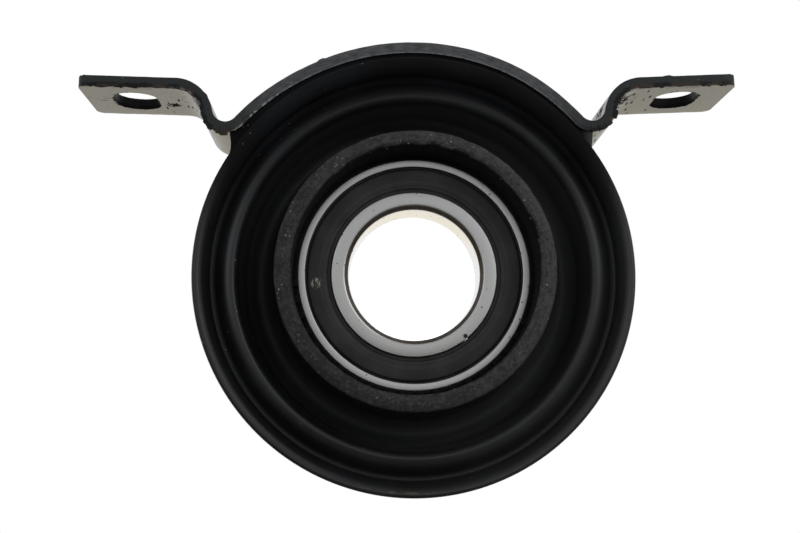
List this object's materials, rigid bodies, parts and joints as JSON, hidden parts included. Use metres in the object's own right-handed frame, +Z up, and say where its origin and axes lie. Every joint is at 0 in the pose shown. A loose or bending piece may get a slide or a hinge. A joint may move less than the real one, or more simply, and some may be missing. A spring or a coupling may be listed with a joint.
{
  "type": "driveshaft centre bearing",
  "caption": "Driveshaft centre support: a sealed ball bearing pressed into a folded rubber cushion, bonded under a bent steel strap with slotted mounting ears.",
  "frame": {"origin": "centre of the bearing, on the shaft axis and at the middle of the bearing's width", "axes": "+Y along the shaft axis, away from the pictured face; +Z up towards the mounting ears; +X to the right seen from the pictured face"},
  "size_m": [0.1542, 0.038, 0.1054],
  "materials": {
    "bracket_paint": "satin black paint on sheet steel",
    "cushion_rubber": "moulded black rubber, slightly dusty",
    "race_steel": "ground bearing steel",
    "ball_steel": "polished bearing steel",
    "cage_steel": "pressed sheet steel",
    "seal_rubber": "matt dark grey rubber"
  },
  "bodies": {
    "housing": {"mounting_bracket": "bracket_paint", "rubber_cushion": "cushion_rubber", "bearing_outer_race": "race_steel", "front_seal": "seal_rubber", "rear_seal": "seal_rubber"},
    "inner_race": {"bearing_inner_race": "race_steel"},
    "ball_cage": {"cage_front": "cage_steel", "cage_rear": "cage_steel", "cage_rivets": "cage_steel"},
    "ball_01": {"ball_01": "ball_steel"},
    "ball_02": {"ball_02": "ball_steel"},
    "ball_03": {"ball_03": "ball_steel"},
    "ball_04": {"ball_04": "ball_steel"},
    "ball_05": {"ball_05": "ball_steel"},
    "ball_06": {"ball_06": "ball_steel"},
    "ball_07": {"ball_07": "ball_steel"},
    "ball_08": {"ball_08": "ball_steel"},
    "ball_09": {"ball_09": "ball_steel"},
    "ball_10": {"ball_10": "ball_steel"},
    "ball_11": {"ball_11": "ball_steel"}
  },
  "joints": [
    {"name": "inner_race_spin", "type": "hinge", "parent": "housing", "child": "inner_race", "pos_m": [0, 0, 0], "axis": [0, 1, 0], "continuous": true},
    {"name": "cage_spin", "type": "hinge", "parent": "housing", "child": "ball_cage", "pos_m": [0, 0, 0], "axis": [0, 1, 0], "continuous": true},
    {"name": "ball_01_spin", "type": "hinge", "parent": "ball_cage", "child": "ball_01", "pos_m": [0, 0, 0.02125], "axis": [0, 1, 0], "continuous": true},
    {"name": "ball_02_spin", "type": "hinge", "parent": "ball_cage", "child": "ball_02", "pos_m": [-0.01149, 0, 0.01788], "axis": [0, 1, 0], "continuous": true},
    {"name": "ball_03_spin", "type": "hinge", "parent": "ball_cage", "child": "ball_03", "pos_m": [-0.01933, 0, 0.00883], "axis": [0, 1, 0], "continuous": true},
    {"name": "ball_04_spin", "type": "hinge", "parent": "ball_cage", "child": "ball_04", "pos_m": [-0.02103, 0, -0.00302], "axis": [0, 1, 0], "continuous": true},
    {"name": "ball_05_spin", "type": "hinge", "parent": "ball_cage", "child": "ball_05", "pos_m": [-0.01606, 0, -0.01392], "axis": [0, 1, 0], "continuous": true},
    {"name": "ball_06_spin", "type": "hinge", "parent": "ball_cage", "child": "ball_06", "pos_m": [-0.00599, 0, -0.02039], "axis": [0, 1, 0], "continuous": true},
    {"name": "ball_07_spin", "type": "hinge", "parent": "ball_cage", "child": "ball_07", "pos_m": [0.00599, 0, -0.02039], "axis": [0, 1, 0], "continuous": true},
    {"name": "ball_08_spin", "type": "hinge", "parent": "ball_cage", "child": "ball_08", "pos_m": [0.01606, 0, -0.01392], "axis": [0, 1, 0], "continuous": true},
    {"name": "ball_09_spin", "type": "hinge", "parent": "ball_cage", "child": "ball_09", "pos_m": [0.02103, 0, -0.00302], "axis": [0, 1, 0], "continuous": true},
    {"name": "ball_10_spin", "type": "hinge", "parent": "ball_cage", "child": "ball_10", "pos_m": [0.01933, 0, 0.00883], "axis": [0, 1, 0], "continuous": true},
    {"name": "ball_11_spin", "type": "hinge", "parent": "ball_cage", "child": "ball_11", "pos_m": [0.01149, 0, 0.01788], "axis": [0, 1, 0], "continuous": true}
  ],
  "couplings": [
    {"joint": "cage_spin", "follows": "inner_race_spin", "ratio": 0.41596},
    {"joint": "ball_01_spin", "follows": "inner_race_spin", "ratio": -2.8906},
    {"joint": "ball_02_spin", "follows": "inner_race_spin", "ratio": -2.8906},
    {"joint": "ball_03_spin", "follows": "inner_race_spin", "ratio": -2.8906},
    {"joint": "ball_04_spin", "follows": "inner_race_spin", "ratio": -2.8906},
    {"joint": "ball_05_spin", "follows": "inner_race_spin", "ratio": -2.8906},
    {"joint": "ball_06_spin", "follows": "inner_race_spin", "ratio": -2.8906},
    {"joint": "ball_07_spin", "follows": "inner_race_spin", "ratio": -2.8906},
    {"joint": "ball_08_spin", "follows": "inner_race_spin", "ratio": -2.8906},
    {"joint": "ball_09_spin", "follows": "inner_race_spin", "ratio": -2.8906},
    {"joint": "ball_10_spin", "follows": "inner_race_spin", "ratio": -2.8906},
    {"joint": "ball_11_spin", "follows": "inner_race_spin", "ratio": -2.8906}
  ]
}
